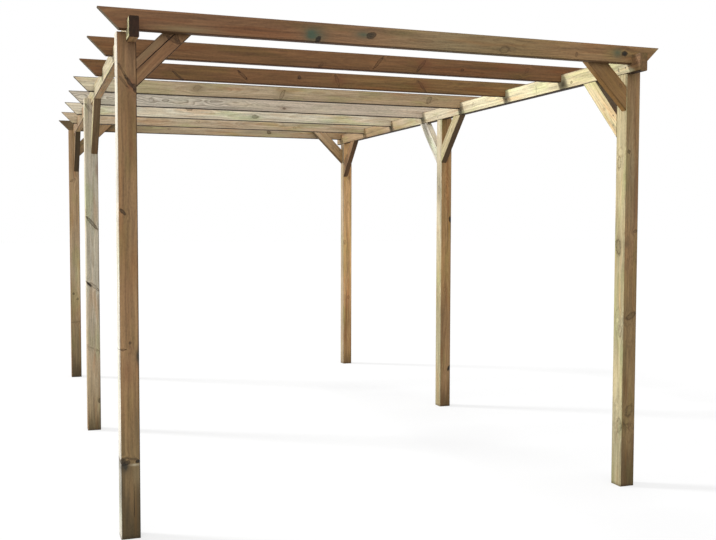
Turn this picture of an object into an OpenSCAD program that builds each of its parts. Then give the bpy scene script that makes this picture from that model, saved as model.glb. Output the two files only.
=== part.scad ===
// Open timber frame of a free-standing carport: posts, side beams, rafters and corner braces.
// Millimetres. +X points right as seen from the front, +Y to the back and +Z up.
// The origin is on the ground, in the middle of the frame.

/* [Frame] */
// Length of a rafter, from tip to tip along its top edge
rafter_length = 3000; // [2600:10:3600]
// Depth over the outer faces of the end posts
frame_depth = 5000; // [4000:10:6000]
// Height from the ground to the top of the rafters
frame_height = 2450; // [2200:10:2800]

/* [Timber] */
// Width of a square post
post_width = 90; // [90:1:120]
// Thickness of the boards that make the beams, rafters and braces
board_thick = 45; // [38:1:45]
// Height of those boards
board_height = 95; // [80:1:120]
// Width of the flat planed along every long edge
eased_edge = 4; // [2:0.5:6]

/* [Overhangs] */
// How far a rafter's tip stands out past the posts
rafter_overhang = 85; // [60:1:150]
// How far a side beam stands out past the end posts
beam_overhang = 120; // [80:1:200]

/* [Joinery] */
// Depth of the notch that drops a rafter over a beam
notch_depth = 47.5; // [30:0.5:50]
// Room beside the beam on each side of that notch
notch_play = 1; // [0.5:0.1:2]
// How far a post's tongue stops below the rafters
tongue_gap = 4; // [0:0.5:10]
// Undercut of a rafter's tip, measured from the vertical
tip_angle = 45; // [20:1:45]
// Rise of a brace along its lower edge
brace_rise = 345; // [300:1:450]
// Slope of a brace
brace_angle = 45; // [40:1:50]

/* [Hidden] */
rafter_count = 8;

// Each side of the frame, with the direction that leads outward
SIDES = [["left", -1], ["right", 1]];
// Each cross line of posts, with its place along the depth from -1 at the front to 1 at the rear
LINES = [["front", -1], ["middle", 0], ["rear", 1]];
// Each brace under a beam: the name around the side, the line of posts, the way it leans
SIDE_BRACES = [
    ["front_", "_side_brace", -1, 1],
    ["middle_", "_front_brace", 0, -1],
    ["middle_", "_rear_brace", 0, 1],
    ["rear_", "_side_brace", 1, -1]
];

// Levels, from the top of the rafters down
rafter_bottom = frame_height - board_height;
beam_top = rafter_bottom + notch_depth;
beam_bottom = beam_top - board_height;
tongue_top = rafter_bottom - tongue_gap;

// Places across and along the frame
post_outer_x = rafter_length / 2 - rafter_overhang;
post_inner_x = post_outer_x - post_width;
post_x = post_outer_x - post_width / 2;
beam_x = post_inner_x + board_thick / 2;
post_y = frame_depth / 2 - post_width / 2;
first_rafter_y = -(frame_depth + board_thick) / 2;
rafter_pitch = (frame_depth + board_thick) / (rafter_count - 1);

beam_length = frame_depth + 2 * beam_overhang;
tip_undercut = board_height * tan(tip_angle);
brace_run = brace_rise / tan(brace_angle);
// Lengths of the two cut ends of a brace, upright on the post and level at the top
brace_post_cut = board_height / cos(brace_angle);
brace_top_cut = board_height / sin(brace_angle);
// Length of the bar that a brace is cut from, ample for any slope
brace_bar = 4 * brace_rise;
// Extra reach of a cutting shape past the timber that it cuts
reach = 10;

// Cross-section of a planed timber, with its four edges eased
module timber_section(width, height) {
    x = width / 2;
    y = height / 2;
    e = eased_edge;
    polygon([
        [x - e, -y], [x, e - y], [x, y - e], [x - e, y],
        [e - x, y], [-x, y - e], [-x, e - y], [e - x, -y]
    ]);
}

// A post: square timber with a shoulder cut for the beam on its inner half
module post(side, line) {
    color("#87664a")
    translate([side * post_x, line * post_y, 0])
    difference() {
        linear_extrude(height = tongue_top) timber_section(post_width, post_width);
        translate([-side * (post_width + reach - board_thick) / 2, 0, beam_bottom + board_height / 2])
            cube([board_thick + reach, post_width + reach, board_height], center = true);
    }
}

// A side beam: one board on edge, lying on the posts' shoulders
module beam(side) {
    color("#d8cba4")
    translate([side * beam_x, 0, beam_bottom + board_height / 2])
    rotate([90, 0, 0])
    linear_extrude(height = beam_length, center = true) timber_section(board_thick, board_height);
}

// A rafter: a board on edge with undercut tips, notched from below over both beams
module rafter(index) {
    half = rafter_length / 2;
    notch_width = board_thick + 2 * notch_play;
    cut_thick = board_thick + reach;
    color("#8a6a4c")
    translate([0, first_rafter_y + index * rafter_pitch, rafter_bottom])
    difference() {
        translate([0, 0, board_height / 2]) rotate([90, 0, 90])
            linear_extrude(height = rafter_length, center = true)
            timber_section(board_thick, board_height);
        for (side = [-1, 1]) {
            rotate([90, 0, 0]) linear_extrude(height = cut_thick, center = true)
                polygon([
                    [side * half, board_height],
                    [side * (half - tip_undercut), 0],
                    [side * (half - tip_undercut), -reach],
                    [side * (half + reach), -reach],
                    [side * (half + reach), board_height]
                ]);
            translate([side * beam_x, 0, notch_depth - board_height / 2])
                cube([notch_width, cut_thick, board_height], center = true);
        }
    }
}

// A brace in its own plane: it leans away from a post standing at x = 0, with its lower corner at the origin
module brace() {
    color("#93724f")
    rotate([90, 0, 0])
    intersection() {
        linear_extrude(height = board_thick, center = true)
            polygon([
                [0, 0],
                [brace_run, brace_rise],
                [brace_run - brace_top_cut, brace_rise],
                [0, brace_post_cut]
            ]);
        rotate([0, 0, brace_angle]) translate([0, board_height / 2, 0]) rotate([90, 0, 90])
            linear_extrude(height = brace_bar, center = true)
            timber_section(board_height, board_thick);
    }
}

// A brace from an end post to the end rafter, lying flat against the rafter's inner face
module cross_brace(side, line) {
    y = line * (frame_depth - board_thick) / 2;
    translate([side * post_inner_x, y, frame_height - brace_rise])
    mirror([side > 0 ? 1 : 0, 0, 0])
    brace();
}

// A brace from a post to the underside of the beam, leaning to the front or to the rear
module side_brace(side, line, lean) {
    y = line * post_y + lean * post_width / 2;
    translate([side * beam_x, y, beam_bottom - brace_rise])
    rotate([0, 0, lean * 90])
    brace();
}

for (s = SIDES, l = LINES)
    post(s[1], l[1]);
for (s = SIDES)
    beam(s[1]);
for (i = [0 : rafter_count - 1])
    rafter(i);
for (s = SIDES, l = [LINES[0], LINES[2]])
    cross_brace(s[1], l[1]);
for (s = SIDES, b = SIDE_BRACES)
    side_brace(s[1], b[2], b[3]);
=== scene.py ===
import math
import random
from collections import namedtuple
from functools import reduce

import bmesh
import bpy
from mathutils import Matrix, Vector


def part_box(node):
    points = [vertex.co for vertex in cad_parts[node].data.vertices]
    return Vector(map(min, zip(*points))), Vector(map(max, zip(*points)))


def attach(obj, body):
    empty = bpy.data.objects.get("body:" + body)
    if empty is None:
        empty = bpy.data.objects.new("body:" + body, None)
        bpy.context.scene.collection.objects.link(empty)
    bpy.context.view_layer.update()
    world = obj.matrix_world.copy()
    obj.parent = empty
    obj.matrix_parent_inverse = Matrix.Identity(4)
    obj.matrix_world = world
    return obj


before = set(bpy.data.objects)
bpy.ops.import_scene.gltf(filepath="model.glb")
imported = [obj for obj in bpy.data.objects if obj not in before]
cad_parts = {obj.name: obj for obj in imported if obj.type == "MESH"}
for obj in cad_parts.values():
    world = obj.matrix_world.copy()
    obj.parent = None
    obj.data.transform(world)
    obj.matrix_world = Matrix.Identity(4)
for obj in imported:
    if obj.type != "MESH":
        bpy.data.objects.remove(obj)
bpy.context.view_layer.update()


# Posts: six square pine posts, planed, eased along the edges and pressure-treated green.
# They stand on the ground, and a shoulder sawn into the inner half of each head carries the beam.
# Their sides that look to the left are painted pale and cream as sunlit, and rain has splashed the
# feet dark.

class Wire:
    """A value in a finish. Sums written with wires add the nodes that work them out."""

    def __init__(self, socket):
        self.socket = socket
        self.tree = socket.id_data

    def node(self, kind, settings, sockets, output=0):
        """Any other node, from its type, its settings and the values or wires of its sockets."""
        made = self.tree.nodes.new("ShaderNode" + kind)
        for name, value in settings.items():
            if name == "stops":
                ramp = made.color_ramp.elements
                ramp.remove(ramp[1])
                ramp[0].position, ramp[0].color = value[0]
                for place, colour in value[1:]:
                    ramp.new(place).color = colour
            else:
                setattr(made, name, value)
        for name, value in sockets.items():
            if isinstance(value, Wire):
                self.tree.links.new(value.socket, made.inputs[name])
            else:
                made.inputs[name].default_value = value
        return Wire(made.outputs[output])

    def maths(self, operation, *others):
        return self.node("Math", {"operation": operation}, dict(enumerate((self, *others))))

    def __add__(self, other):
        return self.maths("ADD", other)

    def __mul__(self, other):
        return self.maths("MULTIPLY", other)

    def __sub__(self, other):
        return self.maths("SUBTRACT", other)

    def __truediv__(self, other):
        return self.maths("DIVIDE", other)

    def __rsub__(self, other):
        return self.node("Math", {"operation": "SUBTRACT"}, {0: other, 1: self})

    __radd__ = __add__
    __rmul__ = __mul__

    def __abs__(self):
        return self.maths("ABSOLUTE")

    def root(self):
        return self.maths("SQRT")

    def fraction(self):
        return self.maths("FRACT")

    def larger(self, other):
        return self.maths("MAXIMUM", other)

    def bell(self):
        """1 at zero, dying away smoothly on both sides."""
        return (self * self * -1.0).maths("EXPONENT")

    def rise(self, low, high):
        """0 below low and 1 above high, with a smooth slope between."""
        limits = {"Value": self, "From Min": low, "From Max": high}
        return self.node("MapRange", {"interpolation_type": "SMOOTHSTEP"}, limits)

    def along(self, direction):
        """How much of a vector points in a direction."""
        settings = {"operation": "DOT_PRODUCT"}
        return self.node("VectorMath", settings, {0: self, 1: direction}, "Value")

    def blend(self, other, amount=1.0, how="MIX"):
        """A colour with another one mixed over it, or multiplied into it."""
        settings = {"data_type": "RGBA", "blend_type": how}
        return self.node("Mix", settings, {0: amount, 6: self, 7: other}, 2)

    def graded(self, tones):
        """Tones that pass into each other along a timber, each at its own place."""
        first, last = tones[0][0], tones[-1][0]
        stops = [((place - first) / (last - first), colour) for place, colour in tones]
        return self.node("ValToRGB", {"stops": stops}, {0: (self - first) / (last - first)})


def paint(red, green, blue):
    """A colour named by its screen values from 0 to 255."""
    light = []
    for value in (red, green, blue):
        part = value / 255
        light.append(((part + 0.055) / 1.055) ** 2.4 if part > 0.04 else part / 12.92)
    return (*light, 1.0)


# The tones that treated pine takes, from the damp feet to the pale tones painted on the sides in
# the light.
UMBER = paint(106, 89, 62)
COPPER = paint(120, 86, 54)
RUSSET = paint(123, 89, 60)
CHESTNUT = paint(134, 103, 73)
BROWN = paint(144, 114, 78)
OLIVE = paint(140, 121, 88)
FAWN = paint(152, 121, 85)
MOSS = paint(132, 109, 74)
GINGER = paint(130, 99, 60)
AMBER = paint(168, 133, 88)
TAN = paint(170, 143, 108)
HONEY = paint(216, 174, 122)
SAND = paint(184, 164, 134)
OAT = paint(200, 181, 152)
SILVER = paint(192, 183, 162)
DRIFT = paint(200, 185, 165)
PEWTER = paint(206, 197, 181)
CELERY = paint(208, 197, 170)
PEARL = paint(224, 214, 190)
FLAX = paint(180, 170, 136)
STRAW = paint(196, 182, 142)
LINEN = paint(203, 190, 157)
BONE = paint(214, 202, 172)
CREAM = paint(230, 214, 170)
VANILLA = paint(246, 235, 195)
IVORY = paint(240, 233, 216)
FROST = paint(234, 228, 213)

# Copper salts gather green round a knot, resin turns the wood rusty, and water leaves it sooty.
# The same sooty colour is also painted as shade below the rafters on the right beam and on two
# braces.
TEAL = paint(72, 84, 66)
RUST = paint(116, 68, 42)
SOOT_AND_SHADE = paint(62, 56, 44)
KNOT_HEART = paint(40, 34, 24)
CRACK_DARK = paint(30, 22, 16)

# Tints that are multiplied into the wood: patches of treatment and resin, wet and muddy feet,
# the bark round a knot, and dark flecks.
GREEN_CAST = (0.78, 0.93, 0.68, 1.0)
RED_CAST = (0.95, 0.70, 0.52, 1.0)
WET_FOOT = (0.40, 0.40, 0.36, 1.0)
MUD_LINE = (0.35, 0.33, 0.30, 1.0)
KNOT_BARK = (0.24, 0.20, 0.16, 1.0)
FLECK = (0.60, 0.58, 0.50, 1.0)

# A knot: its place along the timber and across it, its half length and half width, how far it
# slants, how dark it is, and whether it shows on the sides instead of the front.
Knot = namedtuple("Knot", "place offset length width lean core side", defaults=(0.0, 0.8, False))
# A soft patch of colour: its place, its half sizes, the colour and its strength.
Stain = namedtuple("Stain", "place offset length width colour strength")
# A drying crack along the grain: the middle of it, its half length, its half width and its slant.
Crack = namedtuple("Crack", "place offset length width lean", defaults=(0.0,))

RIGHT = Vector((1.0, 0.0, 0.0))
BACK = Vector((0.0, 1.0, 0.0))
UP = Vector((0.0, 0.0, 1.0))


def timber(name, middle, along, across, tones, sunlit, knots, stains=(), cracks=(), seed=0.0,
           heart=(0.006, -0.06), years=0.0052, wave=1.0, ripple=1.0, grain=0.35, calm=None,
           late_tint=(0.60, 0.47, 0.35, 1.0), mottle=0.6, splash=0.0, silver=0.75,
           end=(0.55, 0.53, 0.51, 1.0), shade=(0.13, 0.11, 0.09, 1.0),
           arris_shade=(0.34, 0.30, 0.26, 1.0)):
    """The finish of one timber, worked out in its solid, so that the grain runs through every face.

    middle, along and across say how the timber lies. tones run along its faces, and sunlit gives
    those that look to the left their own tones: painted light on the side towards the lamp, and on
    some timbers painted shade. The years' rings, each as wide as years, stand round a heart that
    runs beside the middle. wave and ripple say how far and how often they wander, grain how dark
    the late wood is, and calm where it fades. mottle is the strength of green and red patches,
    splash the height of a wet foot, and silver the greying of a top. end tints the sawn ends. The
    underside tint paints shade on the undersides, and light where it is above 1, and the edge tint
    paints shade on the eased edges that do not look to the lamp.
    """
    skin = bpy.data.materials.new(name + "_pine")
    skin.use_nodes = True
    tree = skin.node_tree
    shader = tree.nodes["Principled BSDF"]
    spot = Wire(tree.nodes.new("ShaderNodeTexCoord").outputs["Object"])
    normal = spot.node("NewGeometry", {}, {}, "Normal")
    inside = spot.node("VectorMath", {"operation": "SUBTRACT"}, {0: spot, 1: middle})
    x = inside.along(along)
    y = inside.along(across)
    z = inside.along(along.cross(across))

    def cloud(run, side, depth, stretch, fine, detail=2.0, shift=0.0):
        """Soft noise, drawn out along the grain."""
        place = spot.node("CombineXYZ", {}, {
            0: run * stretch + (seed + shift), 1: side * fine + (seed - shift), 2: depth * fine,
        })
        return spot.node("TexNoise", {}, {"Vector": place, "Scale": 1.0, "Detail": detail})

    # Each knot is a ragged oval with a dark rim, and the grain parts round it.
    speck = cloud(x, y, z, stretch=70.0, fine=150.0, shift=6.0)
    warp = cloud(x, y, z, stretch=24.0, fine=40.0, shift=7.0) - 0.5
    eyes, rims = [], []
    flow_y, flow_z = y, z
    for knot in knots:
        aside = (z if knot.side else y) - knot.offset
        run = (x - knot.place - aside * knot.lean + warp * 0.016) / knot.length
        rise = aside / knot.width + warp * 0.9
        reach = (run * run + rise * rise).root()
        parting = (reach * 0.42).bell() * aside * 0.85
        if knot.side:
            flow_z = flow_z - parting
        else:
            flow_y = flow_y - parting
        rough = reach + (speck - 0.5) * 1.1
        spike = knot.width > 2.0 * knot.length
        solid = (1.0 - rough.rise(0.65, 1.1)) * (0.55 + speck * 0.9)
        eyes.append(solid * (knot.core ** 4 * (0.5 if spike else 1.0)))
        ring = ((rough - 1.0) * 5.0).bell() + ((rough - 0.45) * 6.0).bell() * 0.4
        rims.append(ring * speck * (2.5 * knot.core))
    eye = reduce(Wire.larger, eyes)
    rim = reduce(Wire.larger, rims)

    # Year rings wander round the heart: pale early wood, then dark late wood with a sharp end.
    bend = cloud(x, y, z, stretch=0.9 * ripple, fine=4.0, detail=1.0) - 0.5
    fine_sway = 9.0 * ripple ** 0.5
    sway = cloud(x, y, z, stretch=2.3 * ripple, fine=fine_sway, detail=1.0, shift=3.0) - 0.5
    ring_y = flow_y - heart[0] + bend * (0.05 * wave)
    ring_z = flow_z - heart[1] + sway * (0.04 * wave)
    age = (ring_y * ring_y + ring_z * ring_z).root() / years
    year = age.fraction()
    late = year.rise(0.25, 0.85) * (1.0 - year.rise(0.9, 1.0))
    spell = spot.node("TexNoise", {"noise_dimensions": "1D"},
                      {"W": age * 0.55 + seed, "Scale": 1.0, "Detail": 2.0})

    fibre = cloud(x, flow_y, flow_z, stretch=16.0, fine=420.0, shift=1.0)
    streak = cloud(x, flow_y, flow_z, stretch=2.6, fine=75.0, detail=3.0, shift=2.0)
    green = cloud(x, y, z, stretch=3.0, fine=14.0, detail=3.0, shift=4.0)
    red = cloud(x, y, z, stretch=2.4, fine=22.0, shift=5.0)

    # A face's direction tells a sawn end, an eased edge, a side that looks to the left, a top or an
    # underside.
    ends = abs(normal.along(along)).rise(0.45, 0.7)
    arris = abs(normal.along(across) * normal.along(along.cross(across))).rise(0.2, 0.45)
    level = 1.0 - abs(normal.along(UP)).rise(0.3, 0.55)
    lit = normal.along(-RIGHT).rise(0.45, 0.68) * level.larger(ends * 0.8)
    top = normal.along(UP).rise(0.45, 0.75) * (1.0 - arris)
    under = normal.along(-UP).rise(0.55, 0.95) * (1.0 - ends)

    # The colour, from the broad tones to the finest marks.
    wander = x + (green - 0.5) * 0.3
    wood = wander.graded(tones)
    # Painted light: the faces that look to the left, towards the lamp, take the paler sunlit tones.
    painted_sunlit_tone = wander.graded(sunlit) if isinstance(sunlit, list) else sunlit
    wood = wood.blend(painted_sunlit_tone, lit)
    wood = wood.blend(SILVER, top * silver)
    if calm:
        late = late * (1.0 - wander.rise(*calm) * 0.75)
    wood = wood.blend(late_tint, late * grain, "MULTIPLY")
    wood = wood.blend(GREEN_CAST, green.rise(0.47, 0.70) * mottle, "MULTIPLY")
    wood = wood.blend(RED_CAST, red.rise(0.52, 0.72) * mottle, "MULTIPLY")
    figure = spell * 0.4 + streak * 1.25 + fibre * 0.6 + speck * 0.6 - 0.415
    wood = wood.blend(figure, 1.0, "MULTIPLY")
    for stain in stains:
        run = ((x - stain.place) / stain.length).bell()
        cover = ((y - stain.offset) / stain.width).bell() * run * (0.4 + streak * 1.2)
        wood = wood.blend(stain.colour, cover * stain.strength)
    if splash:
        damp = 1.0 - (x + (streak - 0.5) * splash).rise(0.1 * splash, splash)
        damp = damp * (streak * 1.9 - 0.2) * (1.0 - lit * 0.6)
        wood = wood.blend(WET_FOOT, damp, "MULTIPLY")
        wood = wood.blend(MUD_LINE, ((x - 0.002) / 0.012).bell() * 0.7, "MULTIPLY")
    wood = wood.blend(KNOT_HEART, eye)
    wood = wood.blend(KNOT_BARK, rim, "MULTIPLY")
    wood = wood.blend(FLECK, speck.rise(0.62, 0.75) * 0.5, "MULTIPLY")
    height = late * 0.25 + streak * 0.5 + fibre * 0.5 + eye * 0.4
    for crack in cracks:
        run = (x - crack.place) / crack.length
        aside = y - crack.offset - (x - crack.place) * crack.lean + (streak - 0.5) * 0.006
        split = 1.0 - (abs(aside) / crack.width).rise(0.3, 1.0)
        split = split * (1.0 - abs(run).rise(0.7, 1.0))
        wood = wood.blend(CRACK_DARK, split * 0.95)
        height = height - split * 3.0
    wood = wood.blend(end, ends, "MULTIPLY")
    # Painted shade on the undersides, turned to painted light where the tint is above 1.
    wood = wood.blend(shade, under, "MULTIPLY")
    # Painted shade on the eased edges that do not look to the lamp.
    wood = wood.blend(arris_shade, arris * (1.0 - lit), "MULTIPLY")

    # The raised grain, and a dull face that is dullest on the sawn ends.
    bump = height.node("Bump", {}, {"Strength": 0.6, "Distance": 0.0009, "Height": height})
    dull = 0.66 + fibre * 0.2 - late * 0.08 + ends * 0.1
    for socket, wire in [("Base Color", wood), ("Roughness", dull), ("Normal", bump)]:
        tree.links.new(wire.socket, shader.inputs[socket])
    shader.inputs["Specular IOR Level"].default_value = 0.3
    return skin


def extent(name):
    """The lowest and the highest corner of a timber of the frame."""
    return [Vector(corner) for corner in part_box(name)]


# The radius that a planer and the weather leave on an arris, and the corners that count as one.
ARRIS_RADIUS = 0.0014
ARRIS_ANGLE = math.radians(30)


def dress(name, skin):
    """Puts a finish on a timber of the frame and rounds its arrises as a planer leaves them."""
    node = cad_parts[name]
    for slot in node.material_slots:
        slot.material = skin
    arris = node.modifiers.new("rounded_arris", "BEVEL")
    arris.width = ARRIS_RADIUS
    arris.segments = 2
    arris.limit_method = "ANGLE"
    arris.angle_limit = ARRIS_ANGLE


# A post is sawn with the tree's heart inside it, just off its middle.
POST_HEART = (0.012, 0.008)

for name, look in {
    "front_left_post": dict(
        seed=1.3, splash=0.36, sunlit=FROST, grain=0.2, mottle=0.45,
        tones=[(0.0, UMBER), (0.20, MOSS), (0.42, MOSS), (0.6, BROWN), (0.85, FAWN), (1.3, FAWN),
               (1.9, BROWN), (2.3, CHESTNUT)],
        knots=[Knot(2.168, -0.014, 0.009, 0.020, -1.6, 0.85),
               Knot(2.122, 0.014, 0.012, 0.022, -1.3, 0.9),
               Knot(2.098, 0.034, 0.016, 0.009, -1.0, 0.86),
               Knot(2.125, -0.014, 0.007, 0.020, -1.1, 0.7),
               Knot(1.53, -0.024, 0.010, 0.012, -0.8, 0.9), Knot(0.925, 0.004, 0.006, 0.005),
               Knot(0.892, -0.030, 0.005, 0.014, 0.0, 0.9),
               Knot(0.372, -0.034, 0.012, 0.010, 0.0, 0.9),
               Knot(0.360, -0.018, 0.008, 0.016, 0.3, 0.85),
               Knot(0.377, 0.012, 0.004, 0.026, -0.2, 0.9),
               Knot(0.364, 0.034, 0.006, 0.012, 0.3, 1.0)],
        stains=[Stain(0.86, 0.042, 0.036, 0.012, SOOT_AND_SHADE, 1.2),
                Stain(1.83, 0.018, 0.070, 0.012, RUST, 0.5),
                Stain(1.25, -0.010, 0.250, 0.020, RUST, 0.25),
                Stain(2.0, 0.010, 0.100, 0.030, RUST, 0.3),
                Stain(2.11, 0.020, 0.030, 0.020, RUST, 0.6),
                Stain(0.345, -0.026, 0.026, 0.020, SOOT_AND_SHADE, 1.1),
                Stain(0.350, 0.024, 0.005, 0.020, BONE, 0.9),
                Stain(0.24, -0.040, 0.120, 0.010, SOOT_AND_SHADE, 0.6),
                Stain(0.22, 0.036, 0.130, 0.012, SOOT_AND_SHADE, 0.5),
                Stain(0.30, 0.030, 0.050, 0.020, OLIVE, 0.8),
                Stain(0.79, -0.010, 0.060, 0.020, RUST, 0.3),
                Stain(0.32, 0.000, 0.050, 0.040, SOOT_AND_SHADE, 0.25),
                Stain(0.14, -0.016, 0.110, 0.007, SOOT_AND_SHADE, 0.4),
                Stain(0.10, 0.022, 0.110, 0.008, GINGER, 0.7),
                Stain(0.20, 0.004, 0.080, 0.006, BROWN, 0.8),
                Stain(0.55, 0.030, 0.120, 0.012, UMBER, 0.6)],
        cracks=[Crack(0.18, 0.017, 0.09, 0.0016)]),
    "middle_left_post": dict(
        seed=2.1, splash=0.2,
        sunlit=[(0.0, TAN), (0.6, OAT), (1.0, PEARL), (2.3, PEARL)],
        tones=[(0.0, OLIVE), (0.45, SAND), (1.0, SILVER), (2.3, SILVER)],
        knots=[Knot(2.275, -0.010, 0.010, 0.028, -1.2, 0.6),
               Knot(1.475, 0.0, 0.014, 0.036, -1.1, 0.9),
               Knot(1.045, -0.026, 0.009, 0.017, -1.0, 1.0),
               Knot(1.025, 0.012, 0.012, 0.030, -0.9, 0.7),
               Knot(0.58, 0.010, 0.005, 0.034, -0.45, 0.5), Knot(0.21, 0.036, 0.012, 0.008)],
        stains=[Stain(1.85, 0.036, 0.060, 0.012, RUST, 0.5)]),
    "rear_left_post": dict(
        seed=3.7, splash=0.2, sunlit=FAWN,
        tones=[(0.0, UMBER), (0.35, OLIVE), (0.7, TAN), (1.05, SAND), (1.5, TAN), (2.3, TAN)],
        knots=[Knot(1.88, -0.012, 0.010, 0.022, 0.5, 0.6), Knot(0.80, -0.020, 0.010, 0.009),
               Knot(0.75, 0.018, 0.010, 0.009), Knot(0.53, 0.0, 0.006, 0.045, 0.1, 0.5)]),
    "front_right_post": dict(
        seed=4.9, splash=0.4,
        sunlit=[(0.0, STRAW), (0.3, FLAX), (0.6, STRAW), (0.9, FLAX), (1.1, STRAW), (2.3, STRAW)],
        tones=[(0.0, MOSS), (0.5, MOSS), (1.0, MOSS), (1.3, BROWN), (1.8, OLIVE), (2.3, BROWN)],
        knots=[Knot(1.88, -0.022, 0.010, 0.009), Knot(1.44, 0.028, 0.008, 0.014, 0.3, 0.7),
               Knot(0.965, 0.006, 0.016, 0.028, 0.5, 0.6),
               Knot(0.43, 0.004, 0.028, 0.022, 0.5, 0.5),
               Knot(1.82, 0.012, 0.034, 0.016, 0.0, 0.6, True),
               Knot(1.35, 0.008, 0.040, 0.022, 0.3, 0.6, True),
               Knot(0.876, -0.020, 0.030, 0.016, 0.0, 0.5, True),
               Knot(0.342, -0.024, 0.040, 0.018, 0.0, 0.5, True)],
        stains=[Stain(1.62, 0.028, 0.200, 0.014, RUST, 0.45),
                Stain(1.37, -0.028, 0.030, 0.015, SOOT_AND_SHADE, 0.4)]),
    "middle_right_post": dict(
        seed=5.2, splash=0.25,
        sunlit=[(0.0, STRAW), (0.5, FLAX), (1.1, STRAW), (1.5, BONE), (2.3, BONE)],
        tones=[(0.0, BROWN), (0.3, FAWN), (0.6, BROWN), (1.2, AMBER), (2.3, AMBER)],
        knots=[Knot(1.51, 0.034, 0.022, 0.010, 0.0, 1.0), Knot(0.31, 0.032, 0.018, 0.011, 0.6, 1.0),
               Knot(0.95, -0.010, 0.020, 0.014, 0.0, 0.25),
               Knot(1.75, 0.0, 0.030, 0.016, 0.0, 0.4, True)]),
    "rear_right_post": dict(
        seed=6.6, splash=0.2, sunlit=SAND,
        tones=[(0.0, AMBER), (0.45, AMBER), (0.7, HONEY), (2.3, HONEY)],
        knots=[Knot(1.28, -0.028, 0.020, 0.012, 0.0, 0.6),
               Knot(0.70, 0.010, 0.016, 0.014, 0.0, 0.5),
               Knot(1.95, 0.015, 0.014, 0.012, 0.0, 0.5)],
        stains=[Stain(0.62, 0.0, 0.150, 0.030, RUST, 0.4),
                Stain(0.50, -0.012, 0.350, 0.006, RUST, 0.6),
                Stain(0.90, 0.016, 0.400, 0.006, RUST, 0.5),
                Stain(1.40, -0.004, 0.300, 0.006, RUST, 0.4)]),
}.items():
    low, high = extent(name)
    foot = Vector(((low.x + high.x) / 2, (low.y + high.y) / 2, 0.0))
    dress(name, timber(name, foot, UP, RIGHT, heart=POST_HEART, **look))


# Side beams: one long pine board on edge on each side, lying on the posts' shoulders.
# The tongue of each post stands behind the beam, and screws go through the one into the other.
# The beam's square-sawn ends run out past the end posts.

for name, look in {
    "left_beam": dict(
        # Its outer face is painted light at the front and darker towards the rear, and its
        # underside is painted light.
        seed=7.4, end=(0.11, 0.075, 0.07, 1.0), shade=(2.4, 2.5, 2.6, 1.0),
        sunlit=[(-2.62, LINEN), (-0.5, LINEN), (1.0, TAN), (2.62, BROWN)],
        tones=[(-2.6, BROWN), (0.0, TAN), (2.6, BROWN)],
        knots=[Knot(-1.8, 0.010, 0.012, 0.010), Knot(-0.4, -0.015, 0.014, 0.011),
               Knot(1.3, 0.008, 0.012, 0.010)]),
    "right_beam": dict(
        seed=8.8, end=(0.60, 0.58, 0.55, 1.0),
        # Its inner face is painted light, with painted shadow at the front end where the first
        # rafter shades it, and darker tones towards the rear.
        sunlit=[(-2.62, CHESTNUT), (-2.54, BROWN), (-2.50, BONE), (-2.0, CREAM), (-1.6, VANILLA),
                (-0.9, VANILLA), (-0.4, BONE), (0.4, BONE), (0.9, SAND), (1.4, TAN), (2.6, TAN)],
        tones=[(-2.6, BROWN), (0.0, TAN), (2.6, BROWN)],
        knots=[Knot(-1.94, -0.019, 0.010, 0.008), Knot(-1.52, -0.005, 0.004, 0.034, 0.1, 0.6),
               Knot(-2.42, -0.012, 0.007, 0.006), Knot(-0.6, 0.012, 0.014, 0.010, 0.0, 0.5),
               Knot(1.1, -0.011, 0.012, 0.010, 0.0, 0.6)],
        # Painted shadows: a dark patch on the inner face below each rafter, where the rafter shades
        # the beam.
        stains=[Stain(-1.842, -0.020, 0.040, 0.040, SOOT_AND_SHADE, 0.9),
                Stain(-1.112, -0.020, 0.030, 0.040, SOOT_AND_SHADE, 0.8),
                Stain(-0.392, -0.020, 0.030, 0.040, SOOT_AND_SHADE, 0.8),
                Stain(0.332, -0.020, 0.030, 0.040, SOOT_AND_SHADE, 0.8),
                Stain(1.052, -0.020, 0.030, 0.040, SOOT_AND_SHADE, 0.8)]),
}.items():
    low, high = extent(name)
    dress(name, timber(name, (low + high) / 2, BACK, UP, grain=0.3, **look))


# Rafters: eight pine boards on edge, notched from below over both beams and undercut at the tips.
# Each came from another log, so each has a tone, grain and knots of its own.

# The eased edges and undersides of the rear rafters are painted dark as shade, and those of the
# front ones lighter, as painted light from below.
REAR_ARRIS_SHADE = (0.10, 0.08, 0.07, 1.0)
FRONT_RAFTER_SHADING = dict(arris_shade=(0.62, 0.57, 0.52, 1.0), shade=(0.58, 0.53, 0.48, 1.0))

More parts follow.
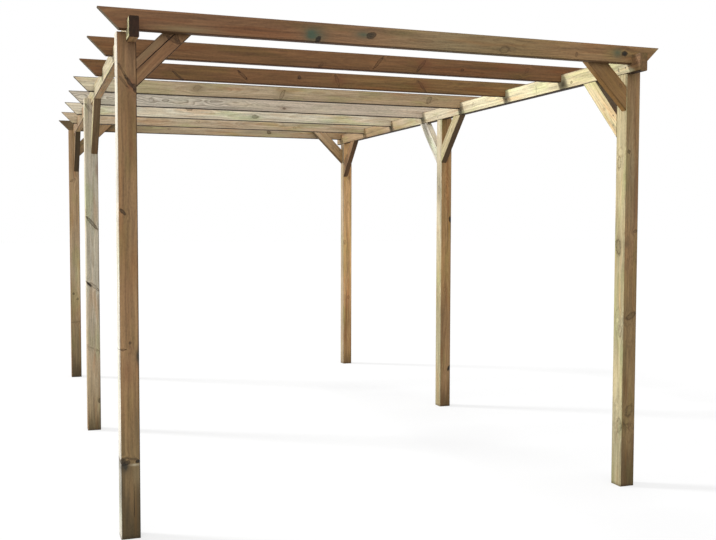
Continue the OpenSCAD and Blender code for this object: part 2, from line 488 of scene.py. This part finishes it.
for name, look in {
    "rafter_1": dict(
        seed=11.2, **FRONT_RAFTER_SHADING,
        tones=[(-1.5, RUSSET), (-0.6, RUSSET), (-0.2, CHESTNUT), (0.2, OLIVE), (0.6, MOSS),
               (0.9, BROWN), (1.5, BROWN)],
        knots=[Knot(-0.465, -0.032, 0.012, 0.013, 0.3, 1.0),
               Knot(-0.194, 0.003, 0.021, 0.014, 0.5, 0.92),
               Knot(0.543, -0.020, 0.022, 0.018, 0.4, 0.4),
               Knot(0.975, -0.020, 0.006, 0.010, 0.0, 0.6),
               Knot(1.276, 0.003, 0.016, 0.013, 0.0, 1.0)],
        stains=[Stain(-0.502, -0.014, 0.024, 0.022, TEAL, 1.3),
                Stain(-0.480, -0.014, 0.055, 0.038, TEAL, 0.7),
                Stain(-0.235, 0.004, 0.045, 0.020, TEAL, 0.7),
                Stain(1.231, 0.004, 0.030, 0.026, TEAL, 0.8),
                Stain(-1.1, -0.030, 0.120, 0.014, OLIVE, 0.6),
                Stain(1.42, 0.0, 0.060, 0.040, RUST, 0.4)]),
    "rafter_2": dict(
        seed=12.5, **FRONT_RAFTER_SHADING,
        tones=[(-1.5, COPPER), (1.5, COPPER)],
        knots=[Knot(-0.229, -0.030, 0.010, 0.010, 0.6, 0.6),
               Knot(0.115, 0.0, 0.010, 0.034, 0.8, 0.8),
               Knot(0.384, -0.002, 0.010, 0.032, 0.8, 0.6),
               Knot(0.649, -0.010, 0.009, 0.008, 0.0, 0.7),
               Knot(1.085, 0.010, 0.010, 0.018, 0.6, 0.4)],
        stains=[Stain(0.40, 0.0, 0.050, 0.040, RUST, 0.5),
                Stain(0.95, 0.015, 0.100, 0.020, RUST, 0.4)]),
    "rafter_3": dict(
        seed=13.1, **FRONT_RAFTER_SHADING,
        tones=[(-1.5, COPPER), (-0.1, COPPER), (0.3, GINGER), (1.5, GINGER)],
        knots=[Knot(-0.92, -0.026, 0.010, 0.024, -1.2, 0.9),
               Knot(-0.52, 0.0, 0.012, 0.026, -1.0, 0.8), Knot(-0.153, 0.006, 0.012, 0.010),
               Knot(0.102, 0.0, 0.010, 0.034, -0.4, 0.5),
               Knot(0.700, -0.010, 0.010, 0.034, -0.8, 0.6)],
        stains=[Stain(0.11, 0.0, 0.050, 0.040, RUST, 0.5),
                Stain(0.70, 0.0, 0.050, 0.040, RUST, 0.5)]),
    "rafter_4": dict(
        seed=14.8, arris_shade=REAR_ARRIS_SHADE, grain=0.35,
        tones=[(-1.5, CELERY), (-1.3, CELERY), (-1.1, SAND), (0.0, SAND), (1.5, TAN)],
        knots=[Knot(-0.681, 0.010, 0.024, 0.016, 0.4, 0.3),
               Knot(-0.074, -0.010, 0.014, 0.030, 0.4, 0.5),
               Knot(1.066, 0.004, 0.016, 0.024, 0.4, 0.5)],
        stains=[Stain(-0.68, 0.010, 0.060, 0.030, OLIVE, 0.7),
                Stain(-0.07, 0.0, 0.050, 0.040, OLIVE, 0.6)]),
    "rafter_5": dict(
        seed=15.3, arris_shade=REAR_ARRIS_SHADE, grain=0.9, wave=0.40, ripple=3.4, years=0.0033, mottle=0.2,
        calm=(-0.7, 0.3), late_tint=(0.50, 0.47, 0.43, 1.0),
        tones=[(-1.5, PEWTER), (-0.7, PEWTER), (0.0, DRIFT), (1.5, DRIFT)],
        knots=[Knot(-0.90, 0.003, 0.020, 0.012, 0.0, 0.4), Knot(0.133, -0.017, 0.010, 0.008)],
        stains=[Stain(0.13, -0.017, 0.040, 0.015, RUST, 0.4)]),
    "rafter_6": dict(
        seed=16.9, arris_shade=REAR_ARRIS_SHADE, grain=0.35,
        tones=[(-1.5, PEARL), (1.0, PEARL), (1.5, OAT)],
        knots=[Knot(-0.50, 0.036, 0.026, 0.014, 0.0, 0.7),
               Knot(0.067, -0.008, 0.024, 0.014, 0.0, 0.5)],
        stains=[Stain(0.067, -0.008, 0.050, 0.022, TEAL, 0.4)]),
    "rafter_7": dict(
        seed=17.6, arris_shade=REAR_ARRIS_SHADE, grain=0.4,
        tones=[(-1.5, OAT), (1.5, OAT)],
        knots=[Knot(-0.30, 0.010, 0.014, 0.010, 0.0, 0.4),
               Knot(0.62, -0.015, 0.014, 0.010, 0.0, 0.5)],
        stains=[Stain(0.0, 0.0, 0.300, 0.020, RUST, 0.15)]),
    "rafter_8": dict(
        seed=18.2, arris_shade=REAR_ARRIS_SHADE,
        tones=[(-1.5, UMBER), (-1.0, OLIVE), (-0.4, SAND), (0.8, SAND), (1.5, BROWN)],
        knots=[Knot(0.55, -0.001, 0.022, 0.016, 0.0, 0.8),
               Knot(-0.46, 0.0, 0.014, 0.010, 0.0, 0.5)],
        stains=[Stain(0.40, 0.0, 0.140, 0.030, TEAL, 0.3)]),
}.items():
    low, high = extent(name)
    dress(name, timber(name, (low + high) / 2, RIGHT, UP, sunlit=BONE, **look))


# Cross braces: a short pine board at each end post, mitred at both ends at 45 degrees.
# It leans in from the post and lies flat against the inner face of the end rafter, screwed to both.

# A brace leans inside its box, so its own middle is half a board's height from the box's middle.
beam_low, beam_high = extent("left_beam")
HALF_BOARD = (beam_high.z - beam_low.z) / 2

for name, inward, look in [
    ("front_left_cross_brace", 1, dict(
        seed=21.4, mottle=0.4,
        tones=[(-0.3, CHESTNUT), (0.0, CHESTNUT), (0.08, FAWN), (0.2, TAN)],
        knots=[Knot(0.060, 0.000, 0.008, 0.044, 0.45, 0.72),
               Knot(0.034, -0.014, 0.008, 0.032, -0.35, 0.72),
               Knot(0.044, -0.022, 0.010, 0.009, 0.0, 0.8)],
        stains=[Stain(0.07, -0.010, 0.030, 0.040, SOOT_AND_SHADE, 0.15),
                Stain(-0.08, 0.03, 0.08, 0.02, OLIVE, 0.4)],
        cracks=[Crack(-0.02, 0.006, 0.20, 0.0030)])),
    ("front_right_cross_brace", -1, dict(
        # Its underside and eased edges are painted light, as from the ground below.
        seed=22.7, shade=(5.0, 4.8, 4.2, 1.0), arris_shade=(1.0, 0.95, 0.85, 1.0),
        tones=[(-0.3, GINGER), (0.0, GINGER), (0.12, FAWN), (0.2, FAWN)],
        knots=[Knot(-0.12, 0.020, 0.012, 0.010, 0.0, 0.4)])),
    ("rear_left_cross_brace", 1, dict(
        seed=23.3,
        tones=[(-0.3, TAN), (0.3, BROWN)],
        knots=[Knot(0.05, 0.010, 0.012, 0.010, 0.0, 0.5)])),
    ("rear_right_cross_brace", -1, dict(
        seed=24.6,
        tones=[(-0.3, AMBER), (0.3, SAND)],
        knots=[Knot(-0.06, -0.010, 0.012, 0.010, 0.0, 0.5)])),
]:
    low, high = extent(name)
    slope = (RIGHT * inward + UP).normalized()
    square = (UP - RIGHT * inward).normalized()
    middle = (low + high) / 2 + square * HALF_BOARD
    dress(name, timber(name, middle, slope, square, sunlit=BONE, silver=0.2, **look))


# Drying crack: the front left brace has split along its face as it dried.
# It is a real cut, a thin wedge that wanders with the grain and closes towards both ends.

CRACK_START, CRACK_END, CRACK_STEPS = -0.21, 0.17, 40
CRACK_OFFSET = 0.006
CRACK_STRAY = 0.0006
CRACK_HALF_GAPE = 0.0016
CRACK_DEPTH = 0.018
# How far the wedge reaches out of the brace's face, so that it cuts clean.
CRACK_PROUD = 0.002

low, high = extent("front_left_cross_brace")
slope = (RIGHT + UP).normalized()
square = (UP - RIGHT).normalized()
middle = (low + high) / 2 + square * HALF_BOARD
middle.y = low.y
wander = random.Random(5)
drift = CRACK_OFFSET
wedge = bmesh.new()
sections = []
for step in range(CRACK_STEPS + 1):
    part = step / CRACK_STEPS
    open_part = math.sin(math.pi * (0.04 + 0.92 * part)) ** 0.5
    drift += wander.uniform(-CRACK_STRAY, CRACK_STRAY)
    spot = middle + slope * (CRACK_START + (CRACK_END - CRACK_START) * part) + square * drift
    gape = square * CRACK_HALF_GAPE * open_part
    mouth = spot - BACK * CRACK_PROUD
    corners = (mouth - gape, mouth + gape, spot + BACK * CRACK_DEPTH * open_part)
    sections.append([wedge.verts.new(corner) for corner in corners])
for before, after in zip(sections, sections[1:]):
    for corner in range(3):
        beside = (corner + 1) % 3
        wedge.faces.new((before[corner], before[beside], after[beside], after[corner]))
wedge.faces.new(sections[0])
wedge.faces.new(sections[-1])
bmesh.ops.recalc_face_normals(wedge, faces=wedge.faces)
wedge_mesh = bpy.data.meshes.new("crack_wedge")
wedge.to_mesh(wedge_mesh)
wedge.free()
cutter = bpy.data.objects.new("crack_wedge", wedge_mesh)
bpy.context.scene.collection.objects.link(cutter)
cutter.hide_render = True
cutter.hide_viewport = True
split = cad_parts["front_left_cross_brace"].modifiers.new("drying_crack", "BOOLEAN")
split.operation = "DIFFERENCE"
split.object = cutter


# Side braces: the same mitred pine board, two at a middle post and one at an end post.
# Each leans from the post up to the underside of the beam, is screwed to both,
# and keeps the frame square along its length.

for name, lean, look in [
    ("front_left_side_brace", 1, dict(
        seed=31.2, sunlit=STRAW,
        tones=[(-0.3, BROWN), (0.3, BROWN)],
        knots=[Knot(0.05, 0.010, 0.012, 0.010)])),
    ("front_right_side_brace", 1, dict(
        seed=32.9, sunlit=CREAM,
        tones=[(-0.3, CHESTNUT), (0.3, UMBER)],
        knots=[Knot(-0.03, -0.012, 0.010, 0.008, 0.0, 0.5)],
        # The thin dark stain on its upper narrow face is painted shadow, where the cross brace
        # shades it.
        stains=[Stain(-0.05, 0.052, 0.25, 0.006, SOOT_AND_SHADE, 0.9)])),
    ("middle_left_front_brace", -1, dict(
        seed=33.5, sunlit=STRAW,
        tones=[(-0.3, BROWN), (0.3, TAN)],
        knots=[Knot(0.02, 0.012, 0.012, 0.010)])),
    ("middle_left_rear_brace", 1, dict(
        seed=34.1, sunlit=STRAW,
        tones=[(-0.3, TAN), (0.3, BROWN)],
        knots=[Knot(-0.05, 0.004, 0.012, 0.010)])),
    ("middle_right_front_brace", -1, dict(
        seed=35.8, sunlit=STRAW,
        tones=[(-0.3, BROWN), (0.3, TAN)],
        knots=[Knot(0.06, -0.010, 0.012, 0.010, 0.0, 0.5)],
        # The thin dark stain on its lower narrow face is painted shade.
        stains=[Stain(0.0, -0.052, 0.35, 0.006, SOOT_AND_SHADE, 0.9)])),
    ("middle_right_rear_brace", 1, dict(
        # Its pale tones and its pale side to the left are painted light, of the sky on its upward
        # face.
        seed=36.4, sunlit=IVORY,
        tones=[(-0.3, PEARL), (0.3, PEARL)],
        knots=[Knot(-0.02, 0.016, 0.012, 0.010, 0.0, 0.5)])),
    ("rear_left_side_brace", -1, dict(
        seed=37.7, sunlit=BROWN,
        tones=[(-0.3, UMBER), (0.3, UMBER)],
        knots=[Knot(0.04, -0.008, 0.012, 0.010)])),
    ("rear_right_side_brace", -1, dict(
        # Its side to the left is painted darker, as shade.
        seed=38.3, sunlit=FAWN,
        tones=[(-0.3, CHESTNUT), (0.3, CHESTNUT)],
        knots=[Knot(0.0, 0.010, 0.012, 0.010)])),
]:
    low, high = extent(name)
    slope = (BACK * lean + UP).normalized()
    square = (UP - BACK * lean).normalized()
    middle = (low + high) / 2 + square * HALF_BOARD
    dress(name, timber(name, middle, slope, square, silver=0.0, **look))


# Screws: zinc-plated timber screws with low domed heads and a six-lobed socket.
# Two go through a beam into each post's tongue, a pair holds each end of a brace,
# and one is driven down through each rafter into the beam below it.

HEAD_RADIUS = 0.0046
HEAD_RISE = 0.0012
SOCKET_RADIUS = 0.0019
HEAD_SIDES = 24
SOCKET_LOBES = 6
LOBE_DEPTH = 0.16
# Radius and rise of each ring of a head, from the rim sunk in the timber to the socket's floor.
HEAD_PROFILE = [
    (HEAD_RADIUS, -0.3 * HEAD_RISE),
    (HEAD_RADIUS, 0.3 * HEAD_RISE),
    (0.86 * HEAD_RADIUS, 0.72 * HEAD_RISE),
    (0.6 * HEAD_RADIUS, HEAD_RISE),
    (SOCKET_RADIUS, HEAD_RISE),
    (0.92 * SOCKET_RADIUS, 0.15 * HEAD_RISE),
]


def drive(heads, spot, outward, turn):
    """Adds a screw head to a mesh, on a face that looks outward, with its socket turned."""
    across = outward.orthogonal().normalized()
    upward = outward.cross(across)
    rings = []
    for radius, rise in HEAD_PROFILE:
        depth = LOBE_DEPTH if radius <= SOCKET_RADIUS else 0.0
        ring = []
        for step in range(HEAD_SIDES):
            angle = 2 * math.pi * step / HEAD_SIDES
            reach = radius * (1 + depth * math.cos(SOCKET_LOBES * angle))
            way = across * math.cos(angle + turn) + upward * math.sin(angle + turn)
            ring.append(heads.verts.new(spot + way * reach + outward * rise))
        rings.append(ring)
    for inner, outer in zip(rings[1:], rings):
        for step in range(HEAD_SIDES):
            after = (step + 1) % HEAD_SIDES
            heads.faces.new((outer[step], outer[after], inner[after], inner[step]))
    heads.faces.new(rings[-1])
    heads.faces.new(reversed(rings[0]))


ZINC_DARK = paint(88, 86, 80)
ZINC_PALE = paint(140, 138, 130)
RED_RUST = paint(104, 70, 46)
zinc = bpy.data.materials.new("zinc_screw_steel")
zinc.use_nodes = True
zinc_shader = zinc.node_tree.nodes["Principled BSDF"]
spot = Wire(zinc.node_tree.nodes.new("ShaderNodeTexCoord").outputs["Object"])
bloom = spot.node("TexNoise", {}, {"Vector": spot, "Scale": 900.0, "Detail": 3.0})
rusty = spot.node("TexNoise", {}, {"Vector": spot, "Scale": 260.0, "Detail": 2.0}).rise(0.52, 0.7)
plate = bloom.node("Mix", {"data_type": "RGBA"}, {0: bloom, 6: ZINC_DARK, 7: ZINC_PALE}, 2)
plate = plate.blend(RED_RUST, rusty * 0.7)
dull = 0.42 + bloom * 0.2 + rusty * 0.25
for socket, wire in [("Base Color", plate), ("Roughness", dull), ("Metallic", 1.0 - rusty * 0.8)]:
    zinc.node_tree.links.new(wire.socket, zinc_shader.inputs[socket])

draw = random.Random(7)
beam_heads, brace_heads, rafter_heads = bmesh.new(), bmesh.new(), bmesh.new()
RAFTER_COUNT = 8
# Each screw through a beam, by its step along from the post's middle and its rise in the beam.
BEAM_SCREWS = [(-0.032, 0.034), (0.030, 0.024)]
for side in ("left", "right"):
    low, high = extent(side + "_beam")
    inward = RIGHT if side == "left" else -RIGHT
    inner = high.x if side == "left" else low.x
    for line in ("front", "middle", "rear"):
        post_low, post_high = extent(line + "_" + side + "_post")
        for step, rise in BEAM_SCREWS:
            spot = Vector((inner, (post_low.y + post_high.y) / 2 + step, low.z + rise))
            drive(beam_heads, spot, inward, draw.random())
    for number in range(1, RAFTER_COUNT + 1):
        rafter_low, rafter_high = extent("rafter_%d" % number)
        spot = Vector(((low.x + high.x) / 2, (rafter_low.y + rafter_high.y) / 2, rafter_high.z))
        drive(rafter_heads, spot, UP, draw.random())

# Each pair at a brace's ends, by its run out from the post and its rise from the lower corner.
POST_PAIR = [(0.032, 0.075), (0.032, 0.130)]
TOP_PAIR = [(0.215, 0.312), (0.272, 0.312)]
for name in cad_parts:
    if not name.endswith("_brace"):
        continue
    low, high = extent(name)
    if name.endswith("_cross_brace"):
        run = RIGHT if low.x < 0 else -RIGHT
        inner = BACK if low.y < 0 else -BACK
        pairs = [(POST_PAIR, inner), (TOP_PAIR, inner)]
    else:
        run = BACK if name.startswith("front") or name.endswith("rear_brace") else -BACK
        inner = RIGHT if low.x < 0 else -RIGHT
        pairs = [(POST_PAIR, inner), (TOP_PAIR, -inner)]
    heel = Vector([low[axis] if run[axis] >= 0 else high[axis] for axis in range(3)])
    for pair, outward in pairs:
        for across, rise in pair:
            spot = heel + run * across + UP * rise
            for axis in range(3):
                if outward[axis]:
                    spot[axis] = high[axis] if outward[axis] > 0 else low[axis]
            drive(brace_heads, spot, outward, draw.random())

for name, heads in [
    ("beam_screws", beam_heads), ("rafter_screws", rafter_heads), ("brace_screws", brace_heads),
]:
    mesh = bpy.data.meshes.new(name)
    bmesh.ops.recalc_face_normals(heads, faces=heads.faces)
    heads.to_mesh(mesh)
    heads.free()
    mesh.materials.append(zinc)
    screws = bpy.data.objects.new(name, mesh)
    bpy.context.scene.collection.objects.link(screws)
    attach(screws, "root")


# Floor and light: a plain pale floor that runs out of sight, an even white sky, a lamp from high
# on the left behind the frame and a broad, weaker one from the front.
# The floor and the sky look white, and the floor keeps a soft shadow.

FLOOR_REACH = 60.0
FLOOR_DROP = 0.0005
# How much light the floor throws back on the timber, and what it shows to the camera.
FLOOR_GREY = (0.18, 0.18, 0.18, 1.0)
SHADOW_GREY = (0.22, 0.22, 0.22, 1.0)
FLOOR_GLOW = 0.7
WHITE = (1.0, 1.0, 1.0, 1.0)
DAYLIGHT = 0.85

floor_mesh = bpy.data.meshes.new("floor")
floor_corners = [(-1, -1), (1, -1), (1, 1), (-1, 1)]
floor_mesh.from_pydata(
    [(side * FLOOR_REACH, deep * FLOOR_REACH, -FLOOR_DROP) for side, deep in floor_corners],
    [], [(0, 1, 2, 3)])
floor = bpy.data.objects.new("floor", floor_mesh)
bpy.context.scene.collection.objects.link(floor)

pale = bpy.data.materials.new("pale_floor")
pale.use_nodes = True
pale_tree = pale.node_tree
pale_tree.nodes.clear()
rays = Wire(pale_tree.nodes.new("ShaderNodeLightPath").outputs["Is Camera Ray"])
seen = rays.larger(Wire(rays.socket.node.outputs["Is Glossy Ray"]))
matt = rays.node("BsdfDiffuse", {}, {"Color": FLOOR_GREY})
bright = rays.node("BsdfDiffuse", {}, {"Color": SHADOW_GREY})
glow = rays.node("Emission", {}, {"Strength": FLOOR_GLOW})
lifted = rays.node("AddShader", {}, {0: bright, 1: glow})
whole = rays.node("MixShader", {}, {0: seen, 1: matt, 2: lifted})
sink = pale_tree.nodes.new("ShaderNodeOutputMaterial")
pale_tree.links.new(whole.socket, sink.inputs["Surface"])
floor_mesh.materials.append(pale)

sky = bpy.data.worlds.new("white_sky")
sky.use_nodes = True
sky_tree = sky.node_tree
sky_tree.nodes.clear()
rays = Wire(sky_tree.nodes.new("ShaderNodeLightPath").outputs["Is Camera Ray"])
seen = rays.larger(Wire(rays.socket.node.outputs["Is Glossy Ray"]))
seen = seen.larger(Wire(rays.socket.node.outputs["Is Transmission Ray"]))
daylight = rays.node("Background", {}, {"Color": WHITE, "Strength": DAYLIGHT})
white = rays.node("Background", {}, {"Color": WHITE, "Strength": 1.0})
whole = rays.node("MixShader", {}, {0: seen, 1: daylight, 2: white})
sky_tree.links.new(whole.socket, sky_tree.nodes.new("ShaderNodeOutputWorld").inputs["Surface"])
bpy.context.scene.world = sky

# Each lamp: its name, its strength, how broad it is in degrees, and the way that its light travels.
for name, strength, breadth, travels in [
    ("key_lamp", 2.7, 9, Vector((0.66, -0.38, -0.65))),
    ("front_lamp", 1.15, 60, Vector((0.2, 0.9, -0.25))),
]:
    lamp = bpy.data.objects.new(name, bpy.data.lights.new(name, "SUN"))
    lamp.data.energy = strength
    lamp.data.angle = math.radians(breadth)
    lamp.rotation_euler = travels.to_track_quat("-Z", "Y").to_euler()
    bpy.context.scene.collection.objects.link(lamp)


# Camera: at standing height to the left of the front, looking in along the frame.
# Its place, turns and lens are those of the picture that the frame was measured from.

CAMERA_SPOT = (-1.8184, -6.9595, 1.4832)
YAW, PITCH, ROLL = (math.radians(angle) for angle in (19.434, -2.869, 0.127))
LENS = 47.433
SENSOR_WIDTH = 36.0

camera = bpy.data.objects.new("camera", bpy.data.cameras.new("camera"))
camera.data.sensor_width = SENSOR_WIDTH
camera.data.lens = LENS
camera.data.clip_end = 500.0
ahead = Vector((math.sin(YAW) * math.cos(PITCH), math.cos(YAW) * math.cos(PITCH), math.sin(PITCH)))
level = Vector((math.cos(YAW), -math.sin(YAW), 0.0))
upright = level.cross(ahead)
rightward = level * math.cos(ROLL) + upright * math.sin(ROLL)
upward = upright * math.cos(ROLL) - level * math.sin(ROLL)
turned = Matrix((rightward, upward, -ahead)).transposed().to_4x4()
camera.matrix_world = Matrix.Translation(CAMERA_SPOT) @ turned
bpy.context.scene.collection.objects.link(camera)
bpy.context.scene.camera = camera

bpy.context.scene.view_settings.view_transform = "Standard"
